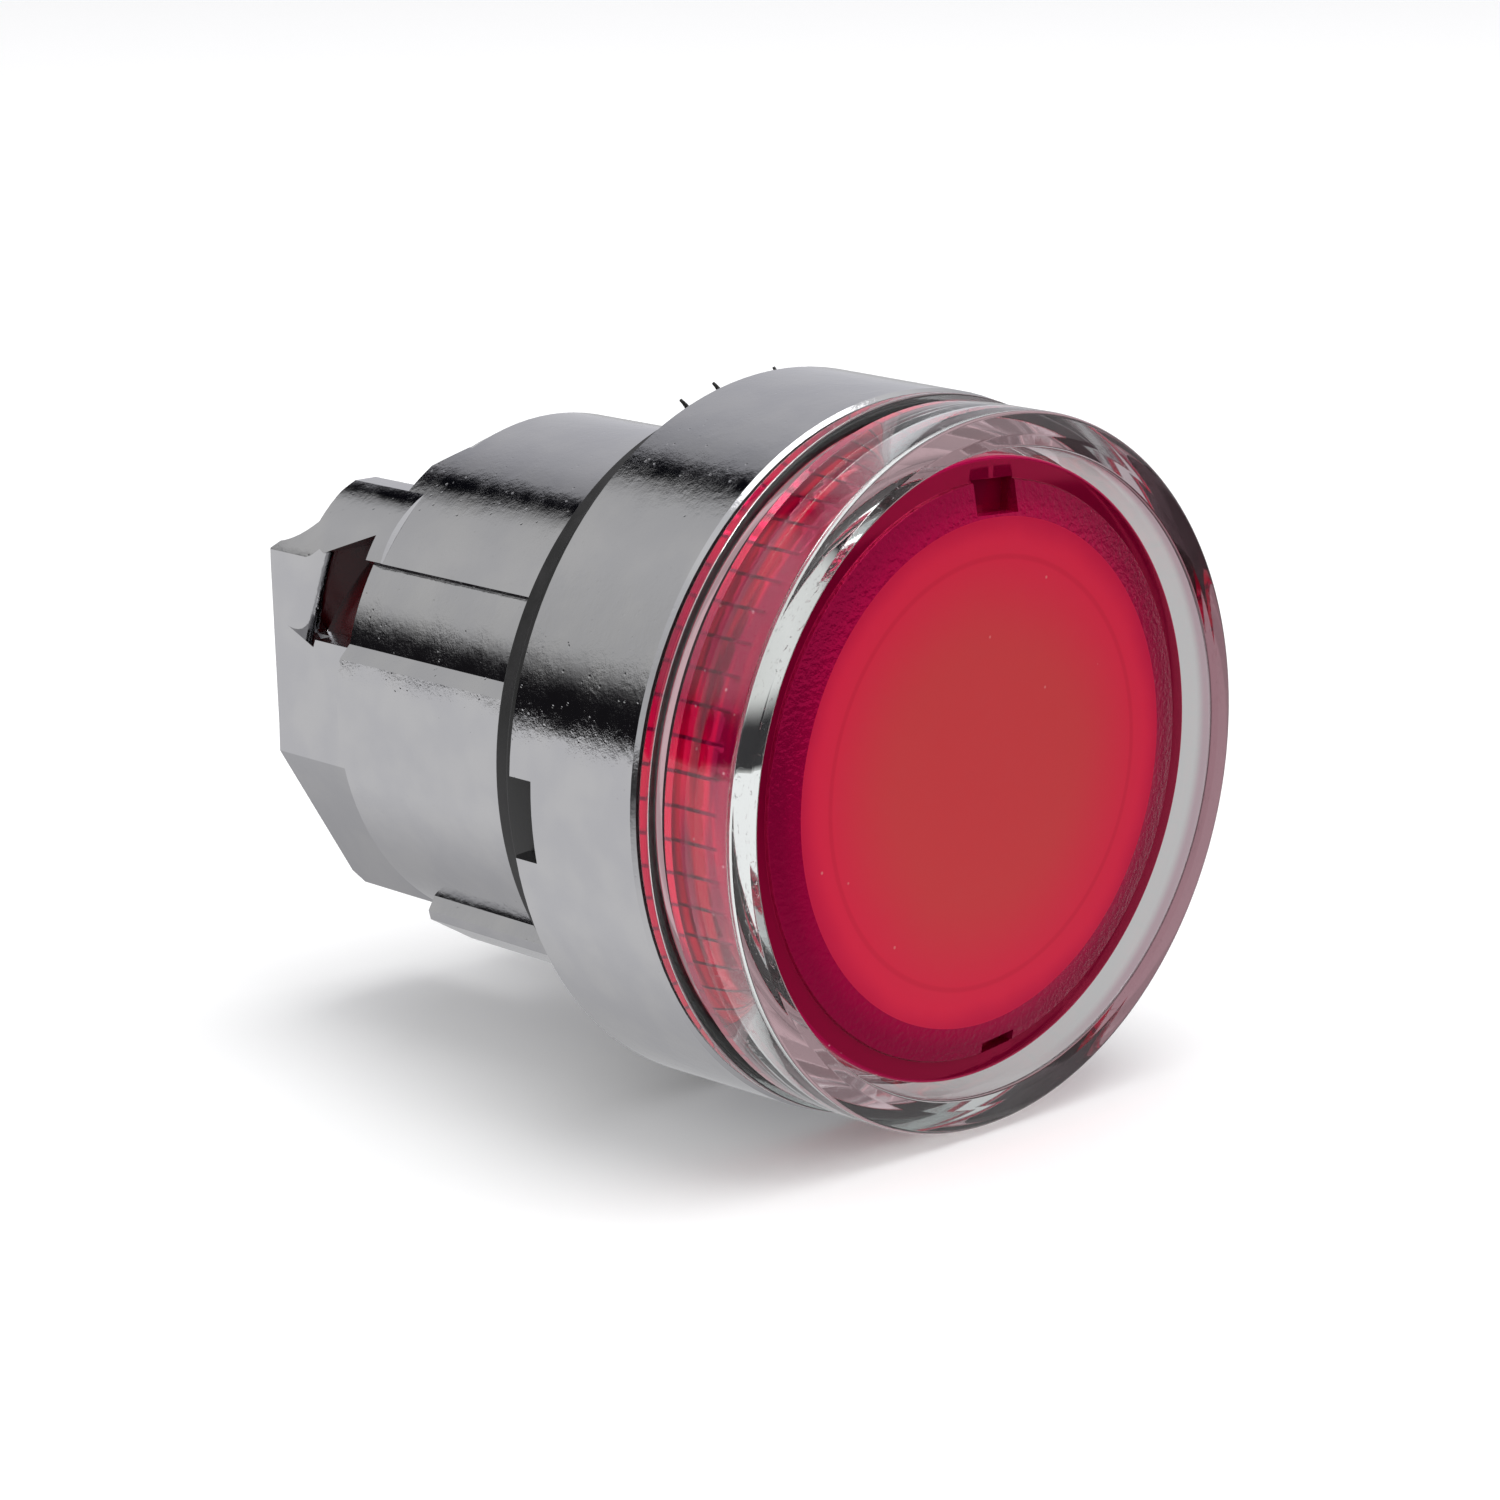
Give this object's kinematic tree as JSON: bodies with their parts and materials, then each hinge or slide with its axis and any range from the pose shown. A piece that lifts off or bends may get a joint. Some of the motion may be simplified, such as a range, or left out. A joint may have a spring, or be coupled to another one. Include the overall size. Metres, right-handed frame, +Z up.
{
  "type": "illuminated push button head",
  "caption": "Flush illuminated push button head for a 22 mm panel hole: chrome bezel and neck, clear guard ring, red lens, rear tongues for a fixing collar.",
  "frame": {"origin": "on the head's axis, in the plane of the panel's front face, where the gasket bears", "axes": "-Y out of the panel towards the finger, +Y back through the panel, +Z up"},
  "size_m": [0.029, 0.0327, 0.029],
  "materials": {
    "chrome_zinc": "bright chrome plate over a zinc casting, fine draw marks",
    "black_rubber": "matte black rubber",
    "clear_plastic": "clear polished polycarbonate",
    "red_lens": "translucent red polycarbonate, frosted centre",
    "red_plunger": "translucent dark red plastic",
    "white_diffuser": "opal white plastic",
    "black_seal": "smooth black rubber",
    "steel": "bright stainless steel",
    "spring_steel": "drawn spring wire",
    "natural_acetal": "natural acetal"
  },
  "bodies": {
    "head": {"body_casting": "chrome_zinc", "panel_gasket": "black_rubber", "guard_ring": "clear_plastic", "ring_gasket": "black_seal", "ring_o_ring": "black_seal", "wiper_seal": "black_seal", "seal_retainer": "steel", "guide_bush": "natural_acetal", "spring_seat_washer": "steel", "return_spring": "spring_steel"},
    "button": {"plunger": "red_plunger", "lens_cap": "red_lens", "diffuser_disc": "white_diffuser", "lens_seal": "black_seal", "retaining_clip": "steel"}
  },
  "joints": [
    {"name": "button_press", "type": "slide", "parent": "head", "child": "button", "axis": [0, 1, 0], "range_m": [0, 0.0036], "stiffness_N_per_m": 600, "springref_m": -0.008, "deforming": ["return_spring"]}
  ]
}
